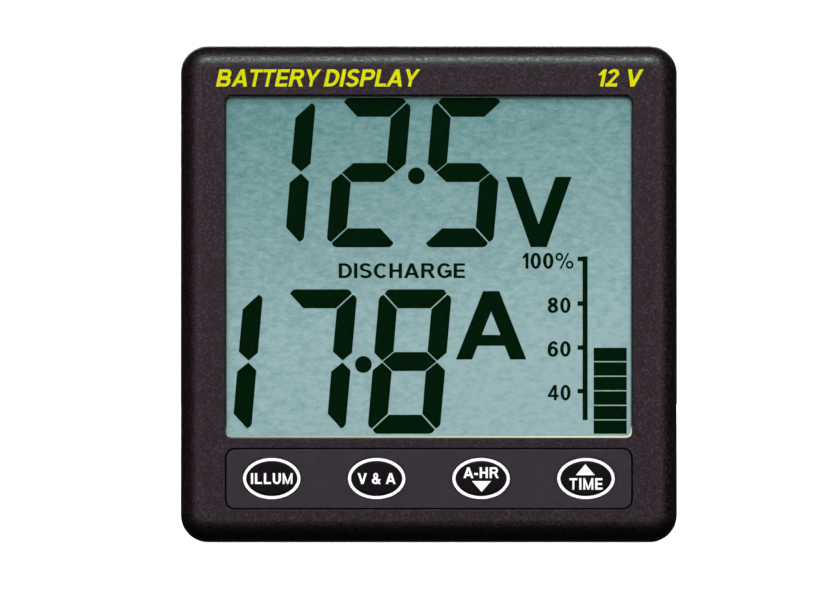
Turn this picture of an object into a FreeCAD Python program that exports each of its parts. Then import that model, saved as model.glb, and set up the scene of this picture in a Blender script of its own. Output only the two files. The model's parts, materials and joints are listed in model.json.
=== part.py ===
import FreeCAD, Part
import os
import Sketcher

# Panel-mounted display head of a battery monitor.  Millimetres.
# X right, Z up, the front faces -Y, and y = 0 is the face of the panel it is mounted on.
# A level is a distance in front of the panel face, so level = -y, and levels behind the panel are negative.

doc = FreeCAD.newDocument("battery_monitor_display")
Vector = FreeCAD.Vector

SIZES = [
    # front case
    ("bezel_width", 110.0), ("bezel_depth", 16.0), ("bezel_corner", 6.0), ("bezel_edge", 4.8),
    ("wall_level", 13.5), ("cavity_half", 49.7), ("cavity_corner", 2.0),
    ("plate_recess_half", 50.8), ("plate_recess_corner", 2.5), ("plate_level", 3.0),
    ("seal_inner", 51.9), ("seal_outer", 53.9), ("seal_depth", 1.6), ("seal_corner", 3.0),
    ("window_half", 45.1), ("window_bottom", -31.9), ("window_top", 44.0), ("window_corner", 1.6),
    ("strip_half", 45.1), ("strip_bottom", -47.7), ("strip_top", -34.1), ("strip_corner", 2.2),
    ("window_lip", 0.18), ("strip_lip", 0.12), ("strip_floor", 15.15),
    ("key_well_level", 14.6), ("key_guide_radius", 2.5),
    ("top_boss_at", 48.0), ("top_boss_radius", 2.2), ("low_boss_at", 46.5), ("low_boss_radius", 3.0),
    ("board_boss_radius", 1.5), ("side_boss_x", 48.0), ("side_boss_z", 36.0),
    ("foot_boss_x", 23.1), ("foot_boss_z", -46.9),
    ("case_pilot", 0.95), ("case_pilot_depth", 8.0), ("board_pilot", 0.75), ("board_pilot_depth", 5.0),
    ("boss_root", 0.3), ("rebate_level", 15.1), ("rebate_gap", 0.4), ("rebate_corner", 2.0),
    # display stack, from the window back to the board
    ("flange_side", 1.5), ("flange_below", 1.3), ("flange_above", 1.4), ("flange_corner", 1.0),
    ("lens_glue_level", 15.0), ("lens_pad_level", 15.5), ("lens_flange_level", 14.0),
    ("lens_gap", 0.15), ("lens_corner", 1.4), ("lens_edge", 0.25),
    ("gasket_level", 13.7), ("polariser_level", 13.5), ("front_glass_level", 12.4),
    ("rear_glass_level", 11.3), ("rear_polariser_level", 11.1), ("guide_level", 9.1), ("film_level", 8.9),
    ("board_front", 6.4), ("board_back", 4.8), ("board_half", 49.2),
    ("carrier_half", 48.6), ("carrier_bottom", -36.4), ("carrier_top", 49.2),
    ("contact_half", 43.0), ("contact_width", 1.3), ("part_gap", 0.1),
    ("lamp_length", 3.5), ("lamp_width", 1.7), ("lamp_height", 4.2), ("lamp_x", 46.5),
    ("lamp_low_z", -10.0), ("lamp_high_z", 22.0),
    # keys
    ("key_inner_x", 11.55), ("key_outer_x", 34.75), ("key_z", -40.81),
    ("key_width", 12.85), ("key_height", 9.1), ("key_cap_width", 11.35), ("key_cap_height", 7.6),
    ("key_gap", 0.15), ("key_back", 15.2), ("key_rim", 16.0), ("key_crown", 16.45), ("key_crown_edge", 0.4),
    ("key_stem_radius", 2.43), ("key_bead_radius", 3.0), ("key_bead_front", 13.45), ("key_bead_back", 12.6),
    ("button_top", 11.4), ("button_radius", 1.75), ("switch_half", 3.0), ("switch_level", 9.8),
    ("button_hole", 1.83), ("button_hole_floor", 8.9), ("button_back", 9.6),
    ("strip_gap", 0.3), ("strip_tape", 0.15), ("strip_below_face", 0.2), ("strip_edge", 0.12),
    # rear case
    ("plate_half", 50.6), ("plate_corner", 2.3), ("plate_back", 0.3),
    ("box_half_width", 42.0), ("box_half_height", 32.0), ("box_corner", 4.0), ("box_wall", 2.2),
    ("box_back", -20.0), ("box_edge", 1.5),
    ("screw_hole", 1.25), ("screw_head", 2.0), ("screw_radius", 1.05), ("screw_length", 9.0),
    ("screw_seat", 1.3), ("screw_head_gap", 0.1), ("screw_slot_depth", 0.6), ("screw_slot_reach", 1.2),
    ("screw_slot_half", 0.25),
    ("cable_z", -20.0), ("cable_hole", 4.2), ("grommet_bore", 3.2), ("grommet_flange", 5.5),
    ("grommet_lip", 1.2),
    # fixing behind the panel
    ("stud_x", 28.0), ("stud_radius", 2.0), ("stud_end", -42.0), ("stud_hole", 2.05), ("stud_pocket", 5.6),
    ("hex_flats", 7.0), ("hex_gap", 0.1), ("head_level", -15.0), ("lock_nut_depth", 2.2),
    ("bar_level", -22.3), ("bar_thickness", 1.5), ("bar_half", 50.5), ("bar_height", 16.0),
    ("bar_foot_level", -3.0), ("bar_inner_bend", 1.0), ("bar_outer_bend", 2.5), ("bar_hole", 2.09),
    ("foot_corner", 3.0),
    ("nut_level", -23.85), ("nut_depth", 8.0), ("nut_radius", 6.0), ("nut_bore", 2.05), ("nut_collar", 4.2),
    ("nut_collar_depth", 2.0), ("flute_radius", 0.45), ("flute_count", 24),
    # board screws
    ("board_screw_hole", 0.9), ("board_screw_radius", 0.85), ("board_screw_length", 4.5),
    ("board_head_radius", 1.5), ("board_head_height", 1.1), ("board_head_edge", 0.35),
    ("board_slot_depth", 0.5), ("board_slot_reach", 1.1), ("board_slot_half", 0.22),
    # board parts
    ("chip_height", 1.6), ("chip_large", 12.0), ("chip_small", 5.0), ("lead_width", 0.5),
    ("lead_length", 1.2), ("lead_height", 0.3), ("lead_pitch", 1.27),
    ("can_radius", 4.0), ("can_height", 11.0), ("crystal_length", 11.0), ("crystal_width", 4.6),
    ("crystal_height", 3.6), ("regulator_length", 15.0), ("regulator_width", 10.0),
    ("regulator_height", 4.5), ("diode_radius", 1.35), ("diode_length", 5.2),
    ("header_length", 16.0), ("header_width", 6.0), ("header_height", 9.0), ("header_wall", 0.8),
    ("header_floor", 1.2), ("pin_width", 0.64), ("pin_height", 6.0), ("pin_pitch", 2.54),
    ("small_length", 2.0), ("small_width", 1.25), ("small_height", 0.6), ("small_pitch_x", 3.6),
    ("small_pitch_z", 4.2),
]

sheet = doc.addObject("Spreadsheet::Sheet", "Sizes")


class Size:
    """A length together with the sheet expression that drives it."""

    def __init__(self, value, text):
        self.value = value
        self.text = text

    def __add__(self, other):
        other = size(other)
        return Size(self.value + other.value, "(%s + %s)" % (self.text, other.text))

    def __sub__(self, other):
        other = size(other)
        return Size(self.value - other.value, "(%s - %s)" % (self.text, other.text))

    def __mul__(self, other):
        other = size(other)
        return Size(self.value * other.value, "(%s * %s)" % (self.text, other.text))

    def __neg__(self):
        return Size(-self.value, "(0 - %s)" % self.text)


def size(value):
    if isinstance(value, Size):
        return value
    return Size(float(value), "(%r)" % float(value))


class Named:
    """The sheet's sizes by name."""


d = Named()
for row, (alias, value) in enumerate(SIZES, start=1):
    sheet.set("A%d" % row, alias)
    sheet.set("B%d" % row, repr(value))
    sheet.setAlias("B%d" % row, alias)
    setattr(d, alias, Size(value, "Sizes." + alias))
doc.recompute()


# ---------------------------------------------------------------- outlines

def rect(left, right, bottom, top, radius=None):
    return ("rect", size(left), size(right), size(bottom), size(top), radius)


def square(half, radius=None):
    return rect(-half, half, -half, half, radius)


def circle(x, z, radius):
    return ("circle", size(x), size(z), size(radius))


def oval(x, z, width, height):
    return ("oval", size(x), size(z), size(width), size(height))


def polygon(*points):
    return ("polygon", [(size(x), size(z)) for x, z in points])


def drive(sketch, name, constraint, length):
    index = sketch.addConstraint(constraint)
    sketch.renameConstraint(index, name)
    sketch.setExpression("Constraints." + name, length.text)


def pin(sketch, name, geometry, point, x=None, z=None):
    if x is not None:
        drive(sketch, name + "x", Sketcher.Constraint("DistanceX", -1, 1, geometry, point, x.value), x)
    if z is not None:
        drive(sketch, name + "z", Sketcher.Constraint("DistanceY", -1, 1, geometry, point, z.value), z)


def draw_lines(sketch, tag, points):
    first = sketch.GeometryCount
    count = len(points)
    spots = [Vector(x.value, z.value, 0) for x, z in points]
    for i in range(count):
        sketch.addGeometry(Part.LineSegment(spots[i], spots[(i + 1) % count]))
    for i in range(count):
        sketch.addConstraint(Sketcher.Constraint("Coincident", first + i, 2, first + (i + 1) % count, 1))
    for i, (x, z) in enumerate(points):
        pin(sketch, "%sp%d" % (tag, i), first + i, 1, x, z)


def draw_rounded(sketch, tag, left, right, bottom, top, radius):
    a = sketch.GeometryCount
    r = radius.value
    x0, x1, z0, z1 = left.value, right.value, bottom.value, top.value
    axis = Vector(0, 0, 1)
    quarter = 1.5707963267948966

    def line(xa, za, xb, zb):
        sketch.addGeometry(Part.LineSegment(Vector(xa, za, 0), Vector(xb, zb, 0)))

    def arc(x, z, turn):
        ring = Part.Circle(Vector(x, z, 0), axis, r)
        sketch.addGeometry(Part.ArcOfCircle(ring, turn * quarter, (turn + 1) * quarter))

    line(x0 + r, z1, x1 - r, z1)
    arc(x1 - r, z1 - r, 0)
    line(x1, z1 - r, x1, z0 + r)
    arc(x1 - r, z0 + r, 3)
    line(x1 - r, z0, x0 + r, z0)
    arc(x0 + r, z0 + r, 2)
    line(x0, z0 + r, x0, z1 - r)
    arc(x0 + r, z1 - r, 1)
    joins = [(0, 2, 1, 2), (1, 1, 2, 1), (2, 2, 3, 2), (3, 1, 4, 1),
             (4, 2, 5, 2), (5, 1, 6, 1), (6, 2, 7, 2), (7, 1, 0, 1)]
    for first, end, second, start in joins:
        sketch.addConstraint(Sketcher.Constraint("Tangent", a + first, end, a + second, start))
    for side in (0, 4):
        sketch.addConstraint(Sketcher.Constraint("Horizontal", a + side))
    for side in (2, 6):
        sketch.addConstraint(Sketcher.Constraint("Vertical", a + side))
    for corner in (3, 5, 7):
        sketch.addConstraint(Sketcher.Constraint("Equal", a + 1, a + corner))
    drive(sketch, tag + "r", Sketcher.Constraint("Radius", a + 1, r), radius)
    pin(sketch, tag + "top", a, 1, z=top)
    pin(sketch, tag + "right", a + 2, 1, x=right)
    pin(sketch, tag + "bottom", a + 4, 1, z=bottom)
    pin(sketch, tag + "left", a + 6, 1, x=left)


def draw_circle(sketch, tag, x, z, radius):
    g = sketch.addGeometry(Part.Circle(Vector(x.value, z.value, 0), Vector(0, 0, 1), radius.value))
    drive(sketch, tag + "r", Sketcher.Constraint("Radius", g, radius.value), radius)
    pin(sketch, tag + "c", g, 3, x, z)


def draw_oval(sketch, tag, x, z, width, height):
    tip = Vector(x.value + width.value / 2, z.value, 0)
    side = Vector(x.value, z.value + height.value / 2, 0)
    g = sketch.addGeometry(Part.Ellipse(tip, side, Vector(x.value, z.value, 0)))
    sketch.exposeInternalGeometry(g)
    sketch.addConstraint(Sketcher.Constraint("Horizontal", g + 1))
    drive(sketch, tag + "w", Sketcher.Constraint("DistanceX", g + 1, 2, g + 1, 1, width.value), width)
    drive(sketch, tag + "h", Sketcher.Constraint("DistanceY", g + 2, 2, g + 2, 1, height.value), height)
    pin(sketch, tag + "c", g, 3, x, z)


def draw(sketch, shapes):
    for number, shape in enumerate(shapes):
        tag = "s%d" % number
        kind = shape[0]
        if kind == "rect" and shape[5] is None:
            left, right, bottom, top = shape[1:5]
            draw_lines(sketch, tag, [(left, bottom), (right, bottom), (right, top), (left, top)])
        elif kind == "rect":
            draw_rounded(sketch, tag, *shape[1:5], size(shape[5]))
        elif kind == "circle":
            draw_circle(sketch, tag, *shape[1:])
        elif kind == "oval":
            draw_oval(sketch, tag, *shape[1:])
        else:
            draw_lines(sketch, tag, shape[1])


# ---------------------------------------------------------------- features

def new_body(label, x=None, z=None):
    body = doc.addObject("PartDesign::Body", label)
    body.Label = label
    if x is not None:
        body.setExpression("Placement.Base.x", size(x).text)
    if z is not None:
        body.setExpression("Placement.Base.z", size(z).text)
    return body


def new_sketch(body, name, offset, shapes, role="XZ_Plane"):
    sketch = body.newObject("Sketcher::SketchObject", name)
    plane = [item for item in body.Origin.OriginFeatures if item.Role == role][0]
    sketch.AttachmentSupport = [(plane, "")]
    sketch.MapMode = "FlatFace"
    sketch.setExpression("AttachmentOffset.Base.z", size(offset).text)
    draw(sketch, shapes)
    return sketch


def pad(body, name, low, high, *shapes, role="XZ_Plane"):
    """Adds material from one level forward to another."""
    low, high = size(low), size(high)
    feature = body.newObject("PartDesign::Pad", name)
    feature.Profile = new_sketch(body, name + "_outline", low, shapes, role)
    feature.setExpression("Length", (high - low).text)
    body.Tip = feature
    doc.recompute()
    return feature


def cut(body, name, low, high, *shapes, role="XZ_Plane"):
    """Removes material between two levels."""
    low, high = size(low), size(high)
    before = body.Shape.Volume
    sketch = new_sketch(body, name + "_outline", high, shapes, role)
    feature = body.newObject("PartDesign::Pocket", name)
    feature.Profile = sketch
    feature.setExpression("Length", (high - low).text)
    body.Tip = feature
    doc.recompute()
    if not body.Shape.Volume < before - 1e-4:
        raise RuntimeError("%s %s removed nothing" % (body.Label, name))
    return feature


def round_edges(body, name, radius, wanted, kind="PartDesign::Fillet"):
    """Rounds or chamfers the edges of the tip that the test picks."""
    base = body.Tip
    names = []
    for number, edge in enumerate(base.Shape.Edges, start=1):
        if wanted(edge.BoundBox, edge):
            names.append("Edge%d" % number)
    if not names:
        raise RuntimeError("%s %s found no edge" % (body.Label, name))
    feature = body.newObject(kind, name)
    feature.Base = (base, names)
    feature.setExpression("Radius" if kind.endswith("Fillet") else "Size", size(radius).text)
    body.Tip = feature
    doc.recompute()
    return feature


def at_level(level):
    """A test for edges that lie wholly in one level."""
    y = -size(level).value
    return lambda box, edge: abs(box.YMin - y) < 1e-5 and abs(box.YMax - y) < 1e-5


def group(label, members):
    compound = doc.addObject("Part::Compound", label)
    compound.Label = label
    compound.Links = members
    return compound


def block(label, x0, x1, low, high, z0, z1):
    """A rectangular solid between two levels."""
    x0, x1, low, high, z0, z1 = [size(v) for v in (x0, x1, low, high, z0, z1)]
    box = doc.addObject("Part::Box", label)
    box.Label = label
    box.setExpression("Length", (x1 - x0).text)
    box.setExpression("Width", (high - low).text)
    box.setExpression("Height", (z1 - z0).text)
    box.setExpression("Placement.Base.x", x0.text)
    box.setExpression("Placement.Base.y", (-high).text)
    box.setExpression("Placement.Base.z", z0.text)
    return box


def hexagon(x, z, flats):
    """Six corners, two of them straight above and below the centre."""
    reach = flats * 0.5773502691896258
    half = flats * 0.5
    return polygon((x, z + reach), (x - half, z + reach * 0.5), (x - half, z - reach * 0.5),
                   (x, z - reach), (x + half, z - reach * 0.5), (x + half, z + reach * 0.5))


def frame_rect(grow_x, grow_low, grow_top, radius=None):
    """A rectangle that stands out past the window opening by three margins."""
    x = d.window_half + grow_x
    return rect(-x, x, d.window_bottom - grow_low, d.window_top + grow_top, radius)


def window_flange(gap=0.0, radius=None):
    """The outline of the window's flange, or of the rebate a gap outside it."""
    return frame_rect(d.flange_side + gap, d.flange_below + gap, d.flange_above + gap, radius)


OVERRUN = 1.0      # how far a cut runs past the face it opens
nodes = {}

case_screw_spots = [(-d.top_boss_at, d.top_boss_at), (d.top_boss_at, d.top_boss_at),
                    (-d.low_boss_at, -d.low_boss_at), (d.low_boss_at, -d.low_boss_at)]
case_boss_radii = [d.top_boss_radius, d.top_boss_radius, d.low_boss_radius, d.low_boss_radius]
board_screw_spots = [(-d.side_boss_x, d.side_boss_z), (d.side_boss_x, d.side_boss_z),
                     (-d.foot_boss_x, d.foot_boss_z), (d.foot_boss_x, d.foot_boss_z)]
keys = [("illum", -d.key_outer_x), ("volts_amps", -d.key_inner_x),
        ("amp_hours", d.key_inner_x), ("time", d.key_outer_x)]

# ---------------------------------------------------------------- front case

case = new_body("front_case")
half = d.bezel_width * 0.5
pad(case, "shell", 0, d.bezel_depth, square(half, d.bezel_corner))
round_edges(case, "front_edge", d.bezel_edge, at_level(d.bezel_depth))
cut(case, "plate_recess", 0, d.plate_level, square(d.plate_recess_half, d.plate_recess_corner))
cut(case, "cavity", d.plate_level, d.wall_level, square(d.cavity_half, d.cavity_corner))
cut(case, "seal_groove", 0, d.seal_depth,
    square(d.seal_outer, d.seal_corner), square(d.seal_inner, d.seal_corner - 2.0))
cut(case, "window", d.wall_level - OVERRUN, d.bezel_depth,
    rect(-d.window_half, d.window_half, d.window_bottom, d.window_top, d.window_corner))
cut(case, "strip_recess", d.strip_floor, d.bezel_depth,
    rect(-d.strip_half, d.strip_half, d.strip_bottom, d.strip_top, d.strip_corner))


def opening_lip(low, high):
    """A test for the front edges of an opening that lies between two heights."""
    low, high = low.value - 0.01, high.value + 0.01
    return lambda box, edge: (at_level(d.bezel_depth)(box, edge) and box.ZMin > low and box.ZMax < high
                              and box.XLength < d.window_half.value * 2 + 0.01)


round_edges(case, "window_lip", d.window_lip, opening_lip(d.window_bottom, d.window_top))
round_edges(case, "strip_lip", d.strip_lip, opening_lip(d.strip_bottom, d.strip_top))
key_holes = [oval(x, d.key_z, d.key_width + d.key_gap * 2, d.key_height + d.key_gap * 2) for _, x in keys]
cut(case, "key_wells", d.key_well_level, d.strip_floor, *key_holes)
cut(case, "key_guides", d.wall_level - OVERRUN, d.key_well_level,
    *[circle(x, d.key_z, d.key_guide_radius) for _, x in keys])
cut(case, "window_rebate", d.wall_level, d.rebate_level, window_flange(d.rebate_gap, d.rebate_corner))
pad(case, "case_bosses", d.plate_level, d.wall_level + d.boss_root,
    *[circle(x, z, r) for (x, z), r in zip(case_screw_spots, case_boss_radii)])
pad(case, "board_bosses", d.board_front, d.wall_level + d.boss_root,
    *[circle(x, z, d.board_boss_radius) for x, z in board_screw_spots])
cut(case, "case_pilots", d.plate_level, d.plate_level + d.case_pilot_depth,
    *[circle(x, z, d.case_pilot) for x, z in case_screw_spots])
cut(case, "board_pilots", d.board_front, d.board_front + d.board_pilot_depth,
    *[circle(x, z, d.board_pilot) for x, z in board_screw_spots])
nodes["front_case"] = case

# ---------------------------------------------------------------- window and display

glue = new_body("window_adhesive")
pad(glue, "tape", d.lens_glue_level, d.rebate_level, window_flange(0, d.flange_corner),
    frame_rect(d.part_gap, d.part_gap, d.part_gap, d.flange_corner))
nodes["window_adhesive"] = glue

lens = new_body("display_window")
pad(lens, "flange", d.lens_flange_level, d.lens_glue_level, window_flange(0, d.flange_corner))
pad(lens, "face", d.lens_glue_level, d.lens_pad_level,
    frame_rect(-d.lens_gap, -d.lens_gap, -d.lens_gap, d.lens_corner))
round_edges(lens, "face_edge", d.lens_edge, at_level(d.lens_pad_level), "PartDesign::Chamfer")
nodes["display_window"] = lens

gasket = new_body("window_gasket")
pad(gasket, "foam", d.gasket_level, d.lens_flange_level,
    frame_rect(0.4, 0.5, 0.6), frame_rect(-0.25, -0.25, -0.25))
nodes["window_gasket"] = gasket

# Each sheet's margins stand out past the window opening at the sides, below and above.
sheets = [
    ("front_polariser", d.polariser_level, d.gasket_level, 0.4, 0.5, 0.6),
    ("lcd_front_glass", d.front_glass_level, d.polariser_level, 0.6, 2.6, 2.1),
    ("lcd_rear_glass", d.rear_glass_level, d.front_glass_level, 0.6, 0.6, 0.5),
    ("rear_polariser", d.rear_polariser_level, d.rear_glass_level, 0.3, 0.1, 0.1),
    ("light_guide", d.guide_level, d.rear_polariser_level, 0.3, 0.1, 0.1),
    ("reflector_film", d.film_level, d.guide_level, 0.3, 0.1, 0.1),
]
for label, low, high, side, below, above in sheets:
    body = new_body(label)
    pad(body, "sheet", low, high, frame_rect(side, below, above))
    nodes[label] = body

contact_low_top = d.window_bottom - 1.0
contact_high_bottom = d.window_top + 0.7
contacts = [("contact_strip_top", contact_high_bottom, contact_high_bottom + d.contact_width),
            ("contact_strip_bottom", contact_low_top - d.contact_width, contact_low_top)]
for label, bottom, top in contacts:
    body = new_body(label)
    outline = rect(-d.contact_half, d.contact_half, bottom, top)
    pad(body, "strip", d.board_front, d.front_glass_level, outline)
    nodes[label] = body

lamp_spots = [(sign, z) for sign in (-1, 1) for z in (d.lamp_low_z, d.lamp_high_z)]


def lamp_rect(sign, z, gap):
    """A lamp's outline, grown by a gap all round."""
    x = d.lamp_x * sign
    return rect(x - d.lamp_width * 0.5 - gap, x + d.lamp_width * 0.5 + gap,
                z - d.lamp_length * 0.5 - gap, z + d.lamp_length * 0.5 + gap)


boss_room = d.board_boss_radius + 0.3
carrier = new_body("display_carrier")
pad(carrier, "frame", d.board_front, d.rear_glass_level,
    rect(-d.carrier_half, d.carrier_half, d.carrier_bottom, d.carrier_top))
cut(carrier, "light_opening", d.board_front, d.rear_glass_level, frame_rect(0.4, 0.2, 0.2))
cut(carrier, "contact_slots", d.board_front, d.rear_glass_level,
    *[rect(-d.contact_half - d.part_gap, d.contact_half + d.part_gap, bottom - d.part_gap, top + d.part_gap)
      for _, bottom, top in contacts])
corner_inside, corner_outside = d.window_half + 0.4, d.carrier_half + OVERRUN
corner_low, corner_high = d.window_top + 1.5, d.carrier_top + OVERRUN
cut(carrier, "boss_corners", d.board_front, d.rear_glass_level,
    rect(-corner_outside, -corner_inside, corner_low, corner_high),
    rect(corner_inside, corner_outside, corner_low, corner_high))
cut(carrier, "boss_sides", d.board_front, d.rear_glass_level,
    *[rect(d.side_boss_x * s - boss_room, d.side_boss_x * s + boss_room,
           d.side_boss_z - boss_room, d.side_boss_z + boss_room) for s in (-1, 1)])
cut(carrier, "lamp_pockets", d.board_front, d.board_front + d.lamp_height + d.part_gap,
    *[lamp_rect(sign, z, d.part_gap) for sign, z in lamp_spots])
nodes["display_carrier"] = carrier

lamps = []
for number, (sign, z) in enumerate(lamp_spots, start=1):
    x = d.lamp_x * sign
    lamps.append(block("lamp_%d" % number, x - d.lamp_width * 0.5, x + d.lamp_width * 0.5,
                       d.board_front, d.board_front + d.lamp_height,
                       z - d.lamp_length * 0.5, z + d.lamp_length * 0.5))
nodes["backlight_lamps"] = group("backlight_lamps", lamps)

# ---------------------------------------------------------------- keys

strip_shape = rect(-d.strip_half + d.strip_gap, d.strip_half - d.strip_gap,
                   d.strip_bottom + d.strip_gap, d.strip_top - d.strip_gap, d.strip_corner - d.strip_gap)
strip_tape_face = d.strip_floor + d.strip_tape
strip_glue = new_body("keypad_adhesive")
pad(strip_glue, "tape", d.strip_floor, strip_tape_face, strip_shape, *key_holes)
nodes["keypad_adhesive"] = strip_glue
strip = new_body("keypad_strip")
strip_face = d.bezel_depth - d.strip_below_face
pad(strip, "sheet", strip_tape_face, strip_face, strip_shape, *key_holes)
round_edges(strip, "face_edge", d.strip_edge, at_level(strip_face))
nodes["keypad_strip"] = strip

switches = []
for name, x in keys:
    key = new_body("key_" + name, x, d.key_z)
    pad(key, "rim", d.key_back, d.key_rim, oval(0, 0, d.key_width, d.key_height))
    pad(key, "crown", d.key_rim, d.key_crown, oval(0, 0, d.key_cap_width, d.key_cap_height))
    round_edges(key, "crown_edge", d.key_crown_edge, at_level(d.key_crown))
    pad(key, "stem", d.button_top, d.key_back, circle(0, 0, d.key_stem_radius))
    pad(key, "bead", d.key_bead_back, d.key_bead_front, circle(0, 0, d.key_bead_radius))
    nodes["key_" + name] = key

    button = new_body("switch_button_" + name, x, d.key_z)
    pad(button, "plunger", d.button_back, d.button_top, circle(0, 0, d.button_radius))
    nodes["switch_button_" + name] = button

    switch = new_body("switch_" + name, x, d.key_z)
    pad(switch, "housing", d.board_front, d.switch_level, square(d.switch_half))
    cut(switch, "button_hole", d.button_hole_floor, d.switch_level, circle(0, 0, d.button_hole))
    switches.append(switch)
nodes["push_switches"] = group("push_switches", switches)

# ---------------------------------------------------------------- circuit board

board = new_body("circuit_board")
pad(board, "laminate", d.board_back, d.board_front, square(d.board_half))
top_notch = d.top_boss_at - d.top_boss_radius - 0.3
low_notch = d.low_boss_at - d.low_boss_radius - 0.3
beyond = d.board_half + OVERRUN
cut(board, "corner_notches", d.board_back, d.board_front,
    rect(-beyond, -top_notch, top_notch, beyond), rect(top_notch, beyond, top_notch, beyond),
    rect(-beyond, -low_notch, -beyond, -low_notch), rect(low_notch, beyond, -beyond, -low_notch))
cut(board, "screw_holes", d.board_back, d.board_front,
    *[circle(x, z, d.board_screw_hole) for x, z in board_screw_spots])
nodes["circuit_board"] = board

board_screws = []
head_back = d.board_back - d.board_head_height
slot = rect(-d.board_slot_reach, d.board_slot_reach, -d.board_slot_half, d.board_slot_half)
for number, (x, z) in enumerate(board_screw_spots, start=1):
    screw = new_body("board_screw_%d" % number, x, z)
    shank_front = d.board_front + d.board_screw_length
    pad(screw, "shank", d.board_back, shank_front, circle(0, 0, d.board_screw_radius))
    pad(screw, "head", head_back, d.board_back, circle(0, 0, d.board_head_radius))
    round_edges(screw, "head_edge", d.board_head_edge, at_level(head_back))
    cut(screw, "slot", head_back, head_back + d.board_slot_depth, slot)
    board_screws.append(screw)
nodes["board_screws"] = group("board_screws", board_screws)


def chip(label, x, z, side):
    """A square package on the back of the board."""
    x, z, reach = size(x), size(z), side * 0.5
    chip_back = d.board_back - d.chip_height
    return block(label, x - reach, x + reach, chip_back, d.board_back, z - reach, z + reach)


leads = []


def leads_along(prefix, x, z, reach, count, upright):
    """Two rows of leads on the left and right sides of a chip, or above and below it."""
    for side in (-1, 1):
        for n in range(count):
            along = d.lead_pitch * (n - (count - 1) / 2)
            near = reach * side if side > 0 else reach * side - d.lead_length
            far = near + d.lead_length
            low, high = along - d.lead_width * 0.5, along + d.lead_width * 0.5
            across, up = ((low, high), (near, far)) if upright else ((near, far), (low, high))
            leads.append(block("%s_%d_%d" % (prefix, side + 1, n), across[0] + x, across[1] + x,
                               d.board_back - d.lead_height, d.board_back, up[0] + z, up[1] + z))


for label, x, z in (("microcontroller", -12, 8), ("display_driver", 14, 16)):
    nodes[label] = chip(label, x, z, d.chip_large)
    leads_along(label + "_side", x, z, d.chip_large * 0.5, 8, False)
    leads_along(label + "_end", x, z, d.chip_large * 0.5, 8, True)
nodes["amplifier_chip"] = chip("amplifier_chip", 14, -2, d.chip_small)
leads_along("amplifier_side", 14, -2, d.chip_small * 0.5, 4, False)
nodes["chip_leads"] = group("chip_leads", leads)

crystal = new_body("crystal", -12, -8)
pad(crystal, "can", d.board_back - d.crystal_height, d.board_back,
    rect(-d.crystal_length * 0.5, d.crystal_length * 0.5, -d.crystal_width * 0.5, d.crystal_width * 0.5,
         d.crystal_width * 0.5 - 0.05))
round_edges(crystal, "can_edge", 0.5, at_level(d.board_back - d.crystal_height))
nodes["crystal"] = crystal

cans = []
for number, z in enumerate((-22, -12), start=1):
    can = new_body("capacitor_%d" % number, 30, z)
    pad(can, "can", d.board_back - d.can_height, d.board_back, circle(0, 0, d.can_radius))
    round_edges(can, "can_edge", 0.4, at_level(d.board_back - d.can_height))
    cans.append(can)
nodes["electrolytic_capacitors"] = group("electrolytic_capacitors", cans)

regulator = new_body("voltage_regulator")
pad(regulator, "package", d.board_back - d.regulator_height, d.board_back,
    rect(-36, d.regulator_width - 36, -27, d.regulator_length * 0.6 - 27))
pad(regulator, "tab", d.board_back - 1.3, d.board_back,
    rect(-36, d.regulator_width - 36, d.regulator_length * 0.6 - 27.5, d.regulator_length - 27))
cut(regulator, "tab_hole", d.board_back - 1.3, d.board_back,
    circle(d.regulator_width * 0.5 - 36, d.regulator_length - 30, 1.6))
nodes["voltage_regulator"] = regulator

diode = doc.addObject("Part::Cylinder", "protection_diode")
diode.Label = "protection_diode"
diode.setExpression("Radius", d.diode_radius.text)
diode.setExpression("Height", d.diode_length.text)
diode.Placement = FreeCAD.Placement(Vector(14, 0, -12), FreeCAD.Rotation(Vector(0, 1, 0), 90))
diode.setExpression("Placement.Base.y", (-d.board_back + d.diode_radius).text)
nodes["protection_diode"] = diode

small_parts = []
for column in range(4):
    for row in range(3):
        x, z = d.small_pitch_x * column - 34, d.small_pitch_z * row + 12
        small_parts.append(block("small_part_%d_%d" % (column, row), x, x + d.small_width,
                                 d.board_back - d.small_height, d.board_back, z, z + d.small_length))
nodes["chip_components"] = group("chip_components", small_parts)

header = new_body("wire_header", 0, d.cable_z)
outer_x, outer_z = d.header_length * 0.5, d.header_width * 0.5
socket_x, socket_z = outer_x - d.header_wall, outer_z - d.header_wall
header_back = d.board_back - d.header_height
pad(header, "shroud", header_back, d.board_back, rect(-outer_x, outer_x, -outer_z, outer_z))
cut(header, "socket", header_back, d.board_back - d.header_floor,
    rect(-socket_x, socket_x, -socket_z, socket_z))
nodes["wire_header"] = header
pins = []
for n in range(5):
    x = d.pin_pitch * (n - 2)
    pins.append(block("pin_%d" % (n + 1), x - d.pin_width * 0.5, x + d.pin_width * 0.5,
                      d.board_back - d.header_floor - d.pin_height, d.board_back - d.header_floor,
                      d.cable_z - d.pin_width * 0.5, d.cable_z + d.pin_width * 0.5))
nodes["header_pins"] = group("header_pins", pins)

# ---------------------------------------------------------------- rear case

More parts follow.
